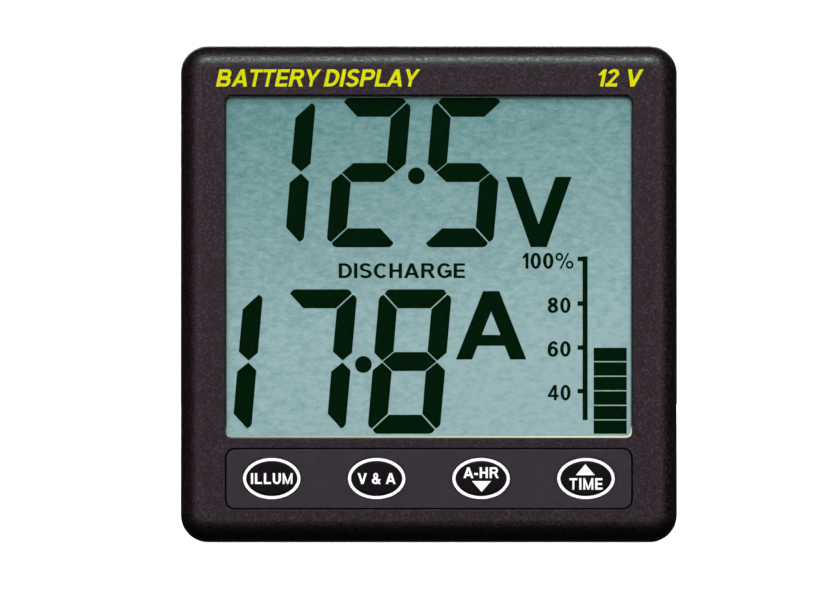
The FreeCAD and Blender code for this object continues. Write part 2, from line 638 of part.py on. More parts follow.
rear = new_body("rear_case")
pad(rear, "plate", d.plate_back, d.plate_level, square(d.plate_half, d.plate_corner))
pad(rear, "box", d.box_back, d.plate_back + 0.5,
    rect(-d.box_half_width, d.box_half_width, -d.box_half_height, d.box_half_height, d.box_corner))
round_edges(rear, "box_edge", d.box_edge, at_level(d.box_back))
inner_x = d.box_half_width - d.box_wall
inner_z = d.box_half_height - d.box_wall
cut(rear, "hollow", d.box_back + d.box_wall, d.plate_level, rect(-inner_x, inner_x, -inner_z, inner_z, 2.0))
pad(rear, "stud_bosses", d.box_back + d.box_wall, d.head_level,
    *[circle(d.stud_x * s, 0, d.stud_pocket) for s in (-1, 1)])
cut(rear, "stud_pockets", d.box_back + d.box_wall, d.head_level,
    *[hexagon(d.stud_x * s, size(0), d.hex_flats + d.hex_gap) for s in (-1, 1)])
cut(rear, "stud_holes", d.box_back, d.box_back + d.box_wall,
    *[circle(d.stud_x * s, 0, d.stud_hole) for s in (-1, 1)])
cut(rear, "cable_hole", d.box_back, d.box_back + d.box_wall, circle(0, d.cable_z, d.cable_hole))
cut(rear, "screw_holes", d.plate_back, d.plate_level,
    *[circle(x, z, d.screw_hole) for x, z in case_screw_spots])
seat_level = d.plate_back + d.screw_seat
cut(rear, "screw_seats", d.plate_back, seat_level,
    *[circle(x, z, d.screw_head) for x, z in case_screw_spots])
nodes["rear_case"] = rear

case_screws = []
case_head_back = d.plate_back + d.screw_head_gap
for number, (x, z) in enumerate(case_screw_spots, start=1):
    screw = new_body("case_screw_%d" % number, x, z)
    pad(screw, "shank", seat_level, seat_level + d.screw_length, circle(0, 0, d.screw_radius))
    pad(screw, "head", case_head_back, seat_level, circle(0, 0, d.screw_head - d.screw_head_gap))
    cut(screw, "slot_across", case_head_back, case_head_back + d.screw_slot_depth,
        rect(-d.screw_slot_reach, d.screw_slot_reach, -d.screw_slot_half, d.screw_slot_half))
    cut(screw, "slot_up", case_head_back, case_head_back + d.screw_slot_depth,
        rect(-d.screw_slot_half, d.screw_slot_half, -d.screw_slot_reach, d.screw_slot_reach))
    case_screws.append(screw)
nodes["case_screws"] = group("case_screws", case_screws)

seal = new_body("panel_seal")
pad(seal, "ring", 0, d.seal_depth, square(d.seal_outer - 0.05, d.seal_corner - 0.05),
    square(d.seal_inner + 0.05, d.seal_corner - 1.95))
nodes["panel_seal"] = seal

grommet = new_body("cable_grommet", 0, d.cable_z)
wall_front = d.box_back + d.box_wall
pad(grommet, "outer_flange", d.box_back - d.grommet_lip, d.box_back, circle(0, 0, d.grommet_flange))
pad(grommet, "neck", d.box_back, wall_front, circle(0, 0, d.cable_hole))
pad(grommet, "inner_flange", wall_front, wall_front + d.grommet_lip, circle(0, 0, d.grommet_flange - 0.3))
cut(grommet, "bore", d.box_back - d.grommet_lip, wall_front + d.grommet_lip, circle(0, 0, d.grommet_bore))
round_edges(grommet, "lip_edge", 0.45,
            lambda box, edge: at_level(d.box_back - d.grommet_lip)(box, edge) and box.XLength > 8)
nodes["cable_grommet"] = grommet

# ---------------------------------------------------------------- clamp behind the panel

lock_nuts = []
for side, sign in (("left", -1), ("right", 1)):
    x = d.stud_x * sign
    stud = new_body("stud_" + side, x)
    pad(stud, "head", wall_front, d.head_level, hexagon(size(0), size(0), d.hex_flats))
    pad(stud, "shank", d.stud_end, wall_front, circle(0, 0, d.stud_radius))
    round_edges(stud, "shank_end", 0.4, at_level(d.stud_end), "PartDesign::Chamfer")
    nodes["stud_" + side] = stud

    nut = new_body("lock_nut_" + side, x)
    pad(nut, "nut", d.box_back - d.lock_nut_depth, d.box_back, hexagon(size(0), size(0), d.hex_flats))
    cut(nut, "thread", d.box_back - d.lock_nut_depth, d.box_back, circle(0, 0, d.stud_radius))
    lock_nuts.append(nut)

    thumb = new_body("thumb_nut_" + side, x)
    collar_back = d.nut_level - d.nut_collar_depth
    nut_back = d.nut_level - d.nut_depth
    pad(thumb, "collar", collar_back, d.nut_level, circle(0, 0, d.nut_collar))
    pad(thumb, "grip", nut_back, collar_back, circle(0, 0, d.nut_radius))
    round_edges(thumb, "grip_edge", 0.6,
                lambda box, edge: abs(box.XLength - 2 * d.nut_radius.value) < 0.1 and box.YLength < 1e-5,
                "PartDesign::Chamfer")
    cut(thumb, "bore", nut_back, d.nut_level, circle(0, 0, d.nut_bore))
    flute = cut(thumb, "flute", nut_back, collar_back, circle(0, d.nut_radius + 0.1, d.flute_radius))
    ring = thumb.newObject("PartDesign::PolarPattern", "flutes")
    ring.Originals = [flute]
    ring.Axis = ([item for item in thumb.Origin.OriginFeatures if item.Role == "Y_Axis"][0], [""])
    ring.Angle = 360
    ring.setExpression("Occurrences", d.flute_count.text)
    thumb.Tip = ring
    nodes["thumb_nut_" + side] = thumb
nodes["stud_lock_nuts"] = group("stud_lock_nuts", lock_nuts)

bar = new_body("clamp_bar")
outer = d.bar_half
inside = d.bar_half - d.bar_thickness
y_foot = -d.bar_foot_level
y_front = -d.bar_level
y_back = y_front + d.bar_thickness
pad(bar, "strap", d.bar_height * -0.5, d.bar_height * 0.5,
    polygon((-outer, y_foot), (-inside, y_foot), (-inside, y_front), (inside, y_front),
            (inside, y_foot), (outer, y_foot), (outer, y_back), (-outer, y_back)), role="XY_Plane")


def upright_at(x, y):
    """A test for edges along Z at a place in plan."""
    x, y = abs(size(x).value), size(y).value
    return lambda box, edge: (box.ZLength > 1 and box.XLength < 1e-5
                              and abs(abs(box.XMin) - x) < 1e-4 and abs(box.YMin - y) < 1e-4)


round_edges(bar, "inner_bends", d.bar_inner_bend, upright_at(inside, y_front))
round_edges(bar, "outer_bends", d.bar_outer_bend, upright_at(outer, y_back))
round_edges(bar, "foot_corners", d.foot_corner,
            lambda box, edge: (box.XLength > 1 and box.ZLength < 1e-5 and box.YLength < 1e-5
                               and abs(box.YMin - y_foot.value) < 1e-4))
cut(bar, "stud_holes", d.bar_level - d.bar_thickness - OVERRUN, d.bar_level + OVERRUN,
    *[circle(d.stud_x * s, 0, d.bar_hole) for s in (-1, 1)])
nodes["clamp_bar"] = bar

# ---------------------------------------------------------------- checks and export

doc.recompute()
for item in doc.Objects:
    if "Invalid" in item.State or "Error" in item.State:
        raise RuntimeError("feature %s is in error" % item.Label)
os.makedirs("parts", exist_ok=True)
for label, item in nodes.items():
    shape = item.Shape
    if shape.isNull() or not shape.isValid():
        raise RuntimeError("%s has no valid shape" % label)
    shape.exportStep("parts/%s.step" % label)
    box = shape.BoundBox
    print("%-24s %d  %9.2f mm3  x %.2f..%.2f  y %.2f..%.2f  z %.2f..%.2f" % (
        label, len(shape.Solids), shape.Volume, box.XMin, box.XMax, box.YMin, box.YMax, box.ZMin, box.ZMax))
print("%d nodes" % len(nodes))
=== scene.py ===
import json
import math
import bpy
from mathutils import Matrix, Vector
from mathutils.geometry import delaunay_2d_cdt


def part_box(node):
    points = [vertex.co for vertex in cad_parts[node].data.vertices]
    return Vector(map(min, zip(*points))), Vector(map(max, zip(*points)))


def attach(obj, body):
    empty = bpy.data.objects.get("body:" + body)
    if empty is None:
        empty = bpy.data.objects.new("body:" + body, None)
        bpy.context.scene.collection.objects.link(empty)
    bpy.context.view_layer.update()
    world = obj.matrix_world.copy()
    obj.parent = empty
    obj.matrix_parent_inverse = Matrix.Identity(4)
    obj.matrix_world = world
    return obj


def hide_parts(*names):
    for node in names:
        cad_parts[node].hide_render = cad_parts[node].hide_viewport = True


# Battery monitor display head: materials, printing, screen contents, lights and camera.
# Plan positions are in millimetres, x to the right and z up, as the reader sees the front.

MM = 0.001
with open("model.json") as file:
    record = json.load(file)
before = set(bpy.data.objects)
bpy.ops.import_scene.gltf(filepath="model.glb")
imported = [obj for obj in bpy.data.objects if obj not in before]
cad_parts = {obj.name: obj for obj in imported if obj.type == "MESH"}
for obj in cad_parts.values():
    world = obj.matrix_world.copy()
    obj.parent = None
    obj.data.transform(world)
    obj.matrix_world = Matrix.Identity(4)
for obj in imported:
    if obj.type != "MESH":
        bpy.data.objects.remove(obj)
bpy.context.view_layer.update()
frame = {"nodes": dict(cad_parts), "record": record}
front_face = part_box("front_case")[0].y
screen_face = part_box("front_polariser")[0].y
strip_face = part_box("keypad_strip")[0].y


# ================================================================ making a piece

def add_object(name, verts, faces, material, smooth=False):
    """A mesh object of one material, in the scene."""
    mesh = bpy.data.meshes.new(name)
    mesh.from_pydata(verts, [], faces)
    mesh.validate()
    mesh.update()
    for face in mesh.polygons:
        face.use_smooth = smooth
    mesh.materials.append(material)
    made = bpy.data.objects.new(name, mesh)
    bpy.context.scene.collection.objects.link(made)
    return made


def add_piece(name, verts, faces, material, body):
    """A mesh object of one given material that rides on a body."""
    piece = add_object(name, verts, faces, material)
    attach(piece, body)
    return piece


def rings_to_faces(rings, count, closed=False):
    """Quads between neighbouring rings of points; closed joins the last ring to the first."""
    last = rings if closed else rings - 1
    return [(r * count + n, r * count + (n + 1) % count,
             (r + 1) % rings * count + (n + 1) % count, (r + 1) % rings * count + n)
            for r in range(last) for n in range(count)]


# ================================================================ flat printed shapes

def area(polygon):
    pairs = zip(polygon, polygon[1:] + polygon[:1])
    return sum(a[0] * b[1] - b[0] * a[1] for a, b in pairs) / 2


def union(polygons):
    """Joins overlapping outlines into one set of triangles."""
    points, faces = [], []
    for polygon in polygons:
        if area(polygon) < 0:
            polygon = polygon[::-1]
        faces.append(list(range(len(points), len(points) + len(polygon))))
        points += [Vector(p) for p in polygon]
    whole_hull, tolerance = 0, 1e-5
    verts, _, triangles, _, _, sources = delaunay_2d_cdt(points, [], faces, whole_hull, tolerance)
    return verts, [t for t, source in zip(triangles, sources) if source]


def raised_print(name, polygons, base_y, relief, body, material):
    """A thin printed layer that stands forward of a face by its relief."""
    verts, faces = union(polygons)
    count = len(verts)
    top = [(v.x * MM, base_y - relief * MM, v.y * MM) for v in verts]
    bottom = [(v.x * MM, base_y, v.y * MM) for v in verts]
    edges = [edge for face in faces for edge in zip(face, face[1:] + face[:1])]
    used = dict.fromkeys(edges)
    sides = [(b, a, a + count, b + count) for a, b in used if (b, a) not in used]
    add_piece(name, top + bottom, [tuple(f) for f in faces] + sides, material, body)


def moved(polygons, x, z):
    return [[(px + x, pz + z) for px, pz in polygon] for polygon in polygons]


# ================================================================ lettering
# Glyphs are drawn with a cap height of 1, from bars, slanted strokes and rings.

STEM = 0.225       # width of an upright
ARM = 0.175        # height of a level stroke
RING_STEP = 12     # degrees in one straight piece of a ring


def bar(x0, z0, x1, z1):
    return [[(x0, z0), (x1, z0), (x1, z1), (x0, z1)]]


def slant(foot, head, width, z0=0.0, z1=1.0):
    """A sloping stroke with level ends; foot and head are its left edges."""
    return [[(foot, z0), (foot + width, z0), (head + width, z1), (head, z1)]]


def ring(cx, cz, rx, rz, start=0, end=360, side=STEM, arm=ARM):
    """Part of an elliptical ring, drawn as short overlapping pieces; angles in degrees."""
    steps = max(4, int(abs(end - start) / RING_STEP))
    shapes = []
    for n in range(steps):
        corners = []
        for k, inner in ((n, 0), (n + 1, 0), (n + 1, 1), (n, 1)):
            turn = math.radians(start + (end - start) * k / steps)
            corners.append((cx + (rx - side * inner) * math.cos(turn),
                            cz + (rz - arm * inner) * math.sin(turn)))
        shapes.append(corners)
    return shapes


def bowl(x0, z0, z1, x1):
    """The closed half-round side of B, D, P and R, open to the left."""
    radius = (z1 - z0) / 2
    middle = x1 - radius
    lap = 0.002
    return (bar(x0, z0, middle + lap, z0 + ARM) + bar(x0, z1 - ARM, middle + lap, z1)
            + ring(middle, z0 + radius, radius, radius, -90, 90))


def glyph(letter):
    """The width and outlines of one character."""
    mid = 0.5 + ARM / 2
    if letter == "A":
        return 1.0, slant(0, 0.385, 0.23) + slant(0.77, 0.385, 0.23) + bar(0.20, 0.20, 0.80, 0.36)
    if letter == "B":
        return 0.86, bar(0, 0, STEM, 1) + bowl(0, 0.44, 1, 0.82) + bowl(0, 0, 0.56, 0.86)
    if letter == "C":
        return 0.90, ring(0.47, 0.5, 0.47, 0.515, 42, 318)
    if letter == "D":
        return 0.87, bar(0, 0, STEM, 1) + bowl(0, 0, 1, 0.87)
    if letter == "E":
        return 0.75, (bar(0, 0, STEM, 1) + bar(0, 0, 0.75, ARM) + bar(0, mid - ARM, 0.70, mid)
                      + bar(0, 1 - ARM, 0.74, 1))
    if letter == "G":
        return 0.95, (ring(0.48, 0.5, 0.48, 0.515, 40, 330) + bar(0.75, 0.10, 0.95, 0.54)
                      + bar(0.50, 0.54 - ARM, 0.95, 0.54))
    if letter == "H":
        return 0.82, (bar(0, 0, STEM, 1) + bar(0.82 - STEM, 0, 0.82, 1)
                      + bar(0, mid - ARM, 0.82, mid))
    if letter == "I":
        return STEM, bar(0, 0, STEM, 1)
    if letter == "L":
        return 0.72, bar(0, 0, STEM, 1) + bar(0, 0, 0.72, ARM)
    if letter == "M":
        return 1.02, (bar(0, 0, 0.19, 1) + bar(0.83, 0, 1.02, 1)
                      + slant(0.43, 0.02, 0.16) + slant(0.43, 0.84, 0.16))
    if letter == "P":
        return 0.84, bar(0, 0, STEM, 1) + bowl(0, 0.38, 1, 0.84)
    if letter == "R":
        return 0.92, bar(0, 0, STEM, 1) + bowl(0, 0.42, 1, 0.84) + slant(0.68, 0.38, 0.24, 0, 0.50)
    if letter == "S":
        return 0.82, (ring(0.41, 0.73, 0.38, 0.285, 20, 270)
                      + ring(0.41, 0.285, 0.41, 0.30, 90, -160))
    if letter == "T":
        return 0.80, bar(0.30, 0, 0.50, 1) + bar(0, 1 - ARM, 0.80, 1)
    if letter == "U":
        return 0.82, (bar(0, 0.38, STEM, 1) + bar(0.82 - STEM, 0.38, 0.82, 1)
                      + ring(0.41, 0.40, 0.41, 0.415, 180, 360))
    if letter == "V":
        return 0.94, slant(0.355, 0, 0.23) + slant(0.355, 0.71, 0.23)
    if letter == "Y":
        return 0.92, (slant(0.345, 0, 0.23, 0.38) + slant(0.345, 0.69, 0.23, 0.38)
                      + bar(0.36, 0, 0.56, 0.50))
    if letter == "-":
        return 0.36, bar(0, 0.28, 0.36, 0.28 + ARM + 0.02)
    if letter == "&":
        return 0.92, (ring(0.40, 0.76, 0.25, 0.255, side=0.16, arm=0.13)
                      + ring(0.37, 0.28, 0.37, 0.29)
                      + slant(0.66, 0.20, 0.25, 0, 0.66) + slant(0.60, 0.74, 0.17, 0.18, 0.46))
    if letter == "%":
        small = dict(side=0.13, arm=0.13)
        return 1.16, (ring(0.25, 0.75, 0.25, 0.26, **small) + ring(0.91, 0.25, 0.25, 0.26, **small)
                      + slant(0.26, 0.76, 0.13))
    if letter == "0":
        return 0.68, ring(0.34, 0.5, 0.34, 0.515)
    if letter == "1":
        return 0.46, bar(0.26, 0, 0.46, 1) + slant(0.0, 0.26, 0.20, 0.66, 0.98)
    if letter == "2":
        return 0.70, (ring(0.35, 0.70, 0.35, 0.315, -8, 165) + slant(0.0, 0.47, 0.23, 0.10, 0.69)
                      + bar(0, 0, 0.70, ARM + 0.01))
    if letter == "4":
        return 0.74, (bar(0.42, 0, 0.61, 1) + bar(0, 0.21, 0.74, 0.37)
                      + slant(0.0, 0.40, 0.20, 0.30, 1))
    if letter == "6":
        return 0.68, (ring(0.34, 0.33, 0.34, 0.345) + ring(0.40, 0.50, 0.40, 0.515, 80, 205)
                      + ring(0.38, 0.72, 0.29, 0.295, 15, 100))
    if letter == "8":
        return 0.68, ring(0.34, 0.74, 0.31, 0.275) + ring(0.34, 0.28, 0.34, 0.295)
    return SPACE_WIDTH, []


SPACE_WIDTH = 0.24
SPACING = 0.12     # between the letters of the title and the screen
TUCK = 0.09        # how much closer these pairs stand
TUCKED = {("A", "T"), ("T", "T"), ("R", "Y"), ("L", "A"), ("A", "Y"), ("Y", " "), ("V", " "),
          (" ", "A"), ("A", "-")}


def lettering(text, left, right, bottom, top, lean=0.0, spacing=SPACING):
    """A line of capitals fitted between two sides; lean is the slope of its uprights."""
    shapes, pen, length = [], 0.0, 0.0
    for here, following in zip(text, text[1:] + " "):
        width, outlines = glyph(here)
        shapes += moved(outlines, pen, 0)
        length = pen + width
        pen = length + (spacing - TUCK if (here, following) in TUCKED else spacing)
    height = top - bottom
    stretch = (right - left - lean * height) / length
    return [[(left + x * stretch + lean * z * height, bottom + z * height) for x, z in shape]
            for shape in shapes]


# ================================================================ screen contents

HALF_WIDTH = 8.03      # half the outer width of a big digit
THICK = 4.22           # segment thickness
GAP = 0.2              # half the gap at a mitre, along x
DIGIT_LEAN = 0.087
POINT_RADIUS = 1.87    # of the decimal points
LABEL_HEIGHT = 3.4     # of the numbers on the scale
TICK = 1.0             # height of a mark on the scale
BLOCKS = 6             # in the bar graph
BLOCK_PITCH = 3.22
BLOCK_HEIGHT = 2.98
SEGMENTS_LIT = {"1": "bc", "2": "abged", "5": "afgcd", "7": "abc", "8": "abcdefg"}


def segment(letter, half_height):
    """One bar of an upright seven-segment digit centred on the origin."""
    w, h = HALF_WIDTH, half_height
    blunted = [(2.3, 0.0), (1.65, 0.22), (1.15, 0.95)]     # the outer corner, from its two sides
    if letter == "g":
        half = THICK / 2
        side = [(w - 4.45, -half), (w - 2.05, 0), (w - 4.45, half)]
        return side + [(-x, -z) for x, z in side]
    if letter in "ad":
        end = [(w - dx, h - dz) for dx, dz in blunted] + [(w - THICK - GAP, h - THICK)]
        outline = end + [(-x, z) for x, z in reversed(end)]
    else:
        end = [(w - dz, h - dx) for dx, dz in reversed(blunted)]
        outline = end + [(w, 1.95), (w - 1.95, 0.18), (w - THICK - 0.05, 2.2),
                         (w - THICK, h - THICK - GAP)]
    flip_x = -1 if letter in "ef" else 1
    flip_z = -1 if letter in "cde" else 1
    return [(x * flip_x, z * flip_z) for x, z in outline]


def digit(character, x, z, half_height):
    upright = [segment(s, half_height) for s in SEGMENTS_LIT[character]]
    leaning = [[(px + DIGIT_LEAN * pz, pz) for px, pz in outline] for outline in upright]
    return moved(leaning, x, z)


def dot(x, z, radius, sides=40):
    turns = [2 * math.pi * n / sides for n in range(sides)]
    return [[(x + radius * math.cos(t), z + radius * math.sin(t)) for t in turns]]


def reading(places, z, half_height, point):
    """A row of big digits with its decimal point."""
    shapes = []
    for character, x in places:
        shapes += digit(character, x, z, half_height)
    return shapes + dot(*point, POINT_RADIUS)


def screen_contents():
    """The volts above, the amps below, their labels, and the charge scale with its bar graph."""
    shapes = reading((("1", -34.4), ("2", -13.3), ("5", 7.6)), 26.9, 16.55, (-2.77, 26.17))
    shapes += lettering("V", 17.05, 31.6, 10.38, 25.96)
    shapes += reading((("1", -46.04), ("7", -25.2), ("8", -4.25)), -14.95, 16.0, (-14.5, -15.6))
    shapes += lettering("A", 6.0, 21.6, -14.5, 0.66)
    shapes += lettering("DISCHARGE", -19.96, 8.04, 3.52, 6.82)
    shapes += lettering("100%", 20.49, 32.04, 5.6, 9.1)
    for text, z in (("80", -4.18), ("60", -13.86), ("40", -23.54)):
        shapes += lettering(text, 26.3, 31.4, z, z + LABEL_HEIGHT)
    shapes += bar(34.04, -27.9, 35.16, 8.36)
    for z in (7.78, -2.1, -11.85, -21.5):
        shapes += bar(32.93, z - TICK / 2, 34.2, z + TICK / 2)
    for n in range(BLOCKS):
        top = -11.88 - BLOCK_PITCH * n
        shapes += bar(36.49, top - BLOCK_HEIGHT, 43.82, top)
    return shapes


# ================================================================ materials

def new_material(name):
    material = bpy.data.materials.new(name)
    material.use_nodes = True
    tree = material.node_tree
    return material, tree, tree.nodes["Principled BSDF"]


def node(tree, kind, **inputs):
    made = tree.nodes.new(kind)
    for key, value in inputs.items():
        made.inputs[key.replace("_", " ")].default_value = value
    return made


def calculate(tree, operation, *values, clamp=False):
    """One Math node, fed by other nodes."""
    made = tree.nodes.new("ShaderNodeMath")
    made.operation = operation
    made.use_clamp = clamp
    for value, socket in zip(values, made.inputs):
        tree.links.new(value, socket)
    return made.outputs[0]


def axes(tree, vector):
    """A vector's X, Y and Z sockets."""
    made = tree.nodes.new("ShaderNodeSeparateXYZ")
    tree.links.new(vector, made.inputs["Vector"])
    return made.outputs


def coordinates(tree, scale=(1, 1, 1)):
    source = tree.nodes.new("ShaderNodeTexCoord")
    mapping = tree.nodes.new("ShaderNodeMapping")
    mapping.inputs["Scale"].default_value = scale
    tree.links.new(source.outputs["Object"], mapping.inputs["Vector"])
    return mapping.outputs["Vector"]


def noise(tree, vector, scale, detail=2.0, roughness=0.5):
    made = node(tree, "ShaderNodeTexNoise", Scale=scale, Detail=detail, Roughness=roughness)
    tree.links.new(vector, made.inputs["Vector"])
    return made.outputs["Fac"]


def spread(tree, value, low, high, to_low=0.0, to_high=1.0):
    """Maps one range of values onto another, and holds it at both ends."""
    made = node(tree, "ShaderNodeMapRange",
                From_Min=low, From_Max=high, To_Min=to_low, To_Max=to_high)
    tree.links.new(value, made.inputs["Value"])
    return made.outputs["Result"]


def vary(tree, grain, low=0.0, high=1.0):
    """A value that wanders between two limits with a noise, which lies mostly from 0.3 to 0.7."""
    return spread(tree, grain, 0.3, 0.7, low, high)


def blend(tree, share, first, second):
    """A mix of two colours, each given or taken from a node."""
    made = tree.nodes.new("ShaderNodeMix")
    made.data_type = "RGBA"
    tree.links.new(share, made.inputs["Factor"])
    for socket, colour in ((made.inputs["A"], first), (made.inputs["B"], second)):
        if isinstance(colour, tuple):
            socket.default_value = (*colour, 1)
        else:
            tree.links.new(colour, socket)
    return made.outputs["Result"]


def feed(tree, shader, socket, value):
    """Gives one of the shader's sockets a value from a node."""
    tree.links.new(value, shader.inputs[socket])


def bump(tree, shader, height, distance):
    made = node(tree, "ShaderNodeBump", Strength=1.0, Distance=distance)
    tree.links.new(height, made.inputs["Height"])
    feed(tree, shader, "Normal", made.outputs["Normal"])


def scaled(colour, factor):
    return tuple(min(1.0, c * factor) for c in colour)


def upward(tree):
    """How far the surface is turned up, from -1 to 1, in the object's own frame."""
    source = tree.nodes.new("ShaderNodeTexCoord")
    return axes(tree, source.outputs["Normal"])["Z"]


def grained_plastic(name, colour, roughness, grain, depth, contrast=0.25, specular=0.5, fleck=None,
                    tint=(1, 1, 1), glitter=0.06):
    """Moulded plastic or rubber: fine grain, a faint drift of tone and uneven gloss. With a fleck
    colour it has pale flecks too, which fade on faces turned down: a painted shade that darkens the
    undersides."""
    material, tree, shader = new_material(name)
    vector = coordinates(tree)
    fine = noise(tree, vector, grain, 3.0, 0.6)
    broad = noise(tree, vector, 45.0)
    tone = blend(tree, vary(tree, fine), scaled(colour, 1 - contrast), scaled(colour, 1 + contrast))
    if fleck:
        sparse = noise(tree, vector, grain * 0.9, 2.0, 0.6)
        # painted shade: the flecks fade out on faces turned down, so the undersides read darker as
        # if out of the light
        flecks_with_painted_shade = calculate(tree, "MULTIPLY", spread(tree, sparse, 0.49, 0.70),
                            spread(tree, upward(tree), -0.30, 0.0))
        tone = blend(tree, flecks_with_painted_shade, tone, fleck)
    drift = vary(tree, broad, 0.0, 0.16)
    feed(tree, shader, "Base Color", blend(tree, drift, tone, scaled(colour, 1.5)))
    feed(tree, shader, "Roughness",
         spread(tree, fine, 0.4, 0.6, roughness - glitter, roughness + glitter))
    shader.inputs["Specular IOR Level"].default_value = specular
    shader.inputs["Specular Tint"].default_value = (*tint, 1)
    bump(tree, shader, fine, depth * MM)
    return material


def brushed_metal(name, colour, roughness, along, fineness=900.0):
    """Metal with fine lines; along is the stretch of the grain on each axis."""
    material, tree, shader = new_material(name)
    vector = coordinates(tree, along)
    lines = noise(tree, vector, fineness, 4.0, 0.65)
    clouds = noise(tree, coordinates(tree), 120.0, 3.0)
    tone = blend(tree, vary(tree, lines), scaled(colour, 0.82), scaled(colour, 1.08))
    dulled = spread(tree, clouds, 0.45, 0.75, 0.0, 0.35)
    feed(tree, shader, "Base Color", blend(tree, dulled, tone, scaled(colour, 0.6)))
    feed(tree, shader, "Roughness",
         spread(tree, lines, 0.2, 0.8, roughness - 0.07, roughness + 0.1))
    shader.inputs["Metallic"].default_value = 0.88
    bump(tree, shader, lines, 0.006 * MM)
    return material


def screen_material():
    """The reflective face of the cell: teal grey, faintly mottled, with painted light that makes it
    lighter towards its lower right and painted shade towards its upper left.
    """
    material, tree, shader = new_material("display_face")
    vector = coordinates(tree)
    place = axes(tree, vector)
    # painted light and shade: the face goes from darker at the top and left to lighter at the
    # bottom and right
    across = spread(tree, place["X"], -45 * MM, 45 * MM, 0.0, 0.20)
    down = spread(tree, place["Z"], 44 * MM, -10 * MM, 0.06, 0.80)
    streaks = noise(tree, coordinates(tree, (0.55, 1, 1)), 900.0, 6.0, 0.75)
    mottle = vary(tree, streaks, -0.36, 0.36)
    share = calculate(tree, "ADD", calculate(tree, "ADD", across, down), mottle, clamp=True)
    face = blend(tree, share, (0.093, 0.222, 0.222), (0.298, 0.430, 0.441))
    fine = noise(tree, vector, 2600.0, 2.0)
    tone = blend(tree, vary(tree, fine, 0.0, 0.12), face, (0.10, 0.22, 0.22))
    feed(tree, shader, "Base Color", tone)
    feed(tree, shader, "Roughness", spread(tree, fine, 0.2, 0.8, 0.5, 0.62))
    shader.inputs["Specular IOR Level"].default_value = 0.05
    bump(tree, shader, fine, 0.004 * MM)
    return material


def clear_material(name, tint, alpha, roughness):
    """Clear sheet with a trace of surface haze."""
    material, tree, shader = new_material(name)
    haze = noise(tree, coordinates(tree), 300.0, 4.0)
    feed(tree, shader, "Roughness", spread(tree, haze, 0.3, 0.8, roughness, roughness + 0.05))
    shader.inputs["Base Color"].default_value = (*tint, 1)
    shader.inputs["Alpha"].default_value = alpha
    return material


def ink(name, colour, roughness=0.5, unevenness=0.08, specular=0.15):
    """Screen-printed ink, very slightly uneven."""
    material, tree, shader = new_material(name)
    cover = noise(tree, coordinates(tree), 1500.0, 3.0)
    tone = blend(tree, vary(tree, cover), scaled(colour, 1 - unevenness), colour)
    feed(tree, shader, "Base Color", tone)
    feed(tree, shader, "Roughness", vary(tree, cover, roughness - 0.05, roughness + 0.05))
    shader.inputs["Specular IOR Level"].default_value = specular
    return material


def painted_edge_light_material():
    """The window's polished edge, coloured with painted light: painted shade along its top and on
    the outermost line of its sides, screen teal on the rest of the sides, and a painted highlight
    along its bottom, strongest at the right.
    """
    material, tree, shader = new_material("window_edge_painted_light")
    vector = coordinates(tree)
    place = axes(tree, vector)
    # painted highlight: a pale yellow glint fades in along the bottom of the edge, weaker towards
    # the left
    low = spread(tree, place["Z"], -29.0 * MM, -31.2 * MM)
    right = spread(tree, place["X"], -50 * MM, 40 * MM, 0.25, 1.0)
    # painted shade: the top and the outermost line of the sides are turned near black
    high = spread(tree, place["Z"], 41.8 * MM, 42.6 * MM)
    outer = spread(tree, calculate(tree, "ABSOLUTE", place["X"]), 44.76 * MM, 44.80 * MM)
    painted_shade_band = calculate(tree, "MAXIMUM", high, outer)
    plain = blend(tree, painted_shade_band, (0.070, 0.150, 0.150), (0.0015, 0.001, 0.0015))
    glow = calculate(tree, "MULTIPLY", low, right)
    feed(tree, shader, "Base Color", blend(tree, glow, plain, (0.80, 0.78, 0.52)))
    feed(tree, shader, "Roughness", vary(tree, noise(tree, vector, 900.0), 0.25, 0.4))
    shader.inputs["Specular IOR Level"].default_value = 0.2
    return material


def elastomer_material():
    """Pink silicone with fine black conducting lines across it."""
    material, tree, shader = new_material("contact_elastomer")
    vector = coordinates(tree)
    lines = node(tree, "ShaderNodeTexWave", Scale=900.0, Distortion=0.4)
    tree.links.new(vector, lines.inputs["Vector"])
    stripe = spread(tree, lines.outputs["Fac"], 0.4, 0.6)
    feed(tree, shader, "Base Color", blend(tree, stripe, (0.02, 0.02, 0.02), (0.45, 0.22, 0.20)))
    feed(tree, shader, "Roughness", vary(tree, noise(tree, vector, 800.0), 0.55, 0.7))
    return material


def board_material():
    """Green solder mask over faint copper tracks."""
    material, tree, shader = new_material("board_laminate")
    vector = coordinates(tree)
    bricks = node(tree, "ShaderNodeTexBrick", Scale=260.0, Mortar_Size=0.08)
    turned = tree.nodes.new("ShaderNodeMapping")
    turned.inputs["Rotation"].default_value = (math.radians(90), 0, 0)
    tree.links.new(vector, turned.inputs["Vector"])
    tree.links.new(turned.outputs["Vector"], bricks.inputs["Vector"])
    feed(tree, shader, "Base Color",
         blend(tree, bricks.outputs["Fac"], (0.015, 0.14, 0.05), (0.05, 0.26, 0.10)))
    feed(tree, shader, "Roughness", vary(tree, noise(tree, vector, 700.0), 0.25, 0.4))
    bump(tree, shader, bricks.outputs["Fac"], 0.02 * MM)
    return material


